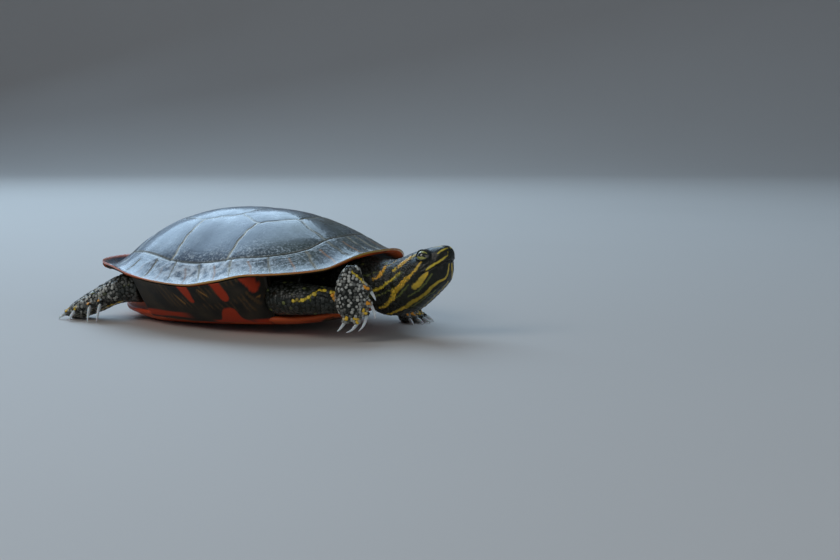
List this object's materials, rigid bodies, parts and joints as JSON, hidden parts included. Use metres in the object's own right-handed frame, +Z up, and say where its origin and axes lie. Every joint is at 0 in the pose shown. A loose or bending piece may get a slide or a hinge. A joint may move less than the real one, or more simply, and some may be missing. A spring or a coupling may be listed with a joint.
{
  "type": "painted turtle figure",
  "caption": "Life-size still model of a painted turtle walking with head raised and right forefoot lifted, resting on three feet and the rear of its plastron.",
  "frame": {"origin": "middle of the whole animal's length and width, on the floor it stands on", "axes": "+X toward the head, +Y toward the turtle's left side, +Z up"},
  "size_m": [0.1752, 0.0992, 0.049],
  "materials": {
    "shell_horn": "glossy dark olive horn with pale seams",
    "plastron_horn": "satin red-orange horn",
    "scaly_skin": "dark scaly skin",
    "claw_horn": "pale satin horn",
    "eye_surface": "wet yellow-green"
  },
  "bodies": {
    "root": {"bridge_left": "plastron_horn", "bridge_right": "plastron_horn", "carapace": "shell_horn", "eye_left": "eye_surface", "eye_right": "eye_surface", "foot_left": "scaly_skin", "foot_left_claw_1": "claw_horn", "foot_left_claw_2": "claw_horn", "foot_left_claw_3": "claw_horn", "foot_left_claw_4": "claw_horn", "foot_right": "scaly_skin", "foot_right_claw_1": "claw_horn", "foot_right_claw_2": "claw_horn", "foot_right_claw_3": "claw_horn", "foot_right_claw_4": "claw_horn", "forearm_left": "scaly_skin", "forearm_right": "scaly_skin", "hand_left": "scaly_skin", "hand_left_claw_1": "claw_horn", "hand_left_claw_2": "claw_horn", "hand_left_claw_3": "claw_horn", "hand_left_claw_4": "claw_horn", "hand_left_claw_5": "claw_horn", "hand_right": "scaly_skin", "hand_right_claw_1": "claw_horn", "hand_right_claw_2": "claw_horn", "hand_right_claw_3": "claw_horn", "hand_right_claw_4": "claw_horn", "hand_right_claw_5": "claw_horn", "head": "scaly_skin", "lower_jaw": "scaly_skin", "neck": "scaly_skin", "plastron": "plastron_horn", "shank_left": "scaly_skin", "shank_right": "scaly_skin", "tail": "scaly_skin", "thigh_left": "scaly_skin", "thigh_right": "scaly_skin", "trunk": "scaly_skin", "upper_arm_left": "scaly_skin", "upper_arm_right": "scaly_skin"}
  },
  "joints": []
}
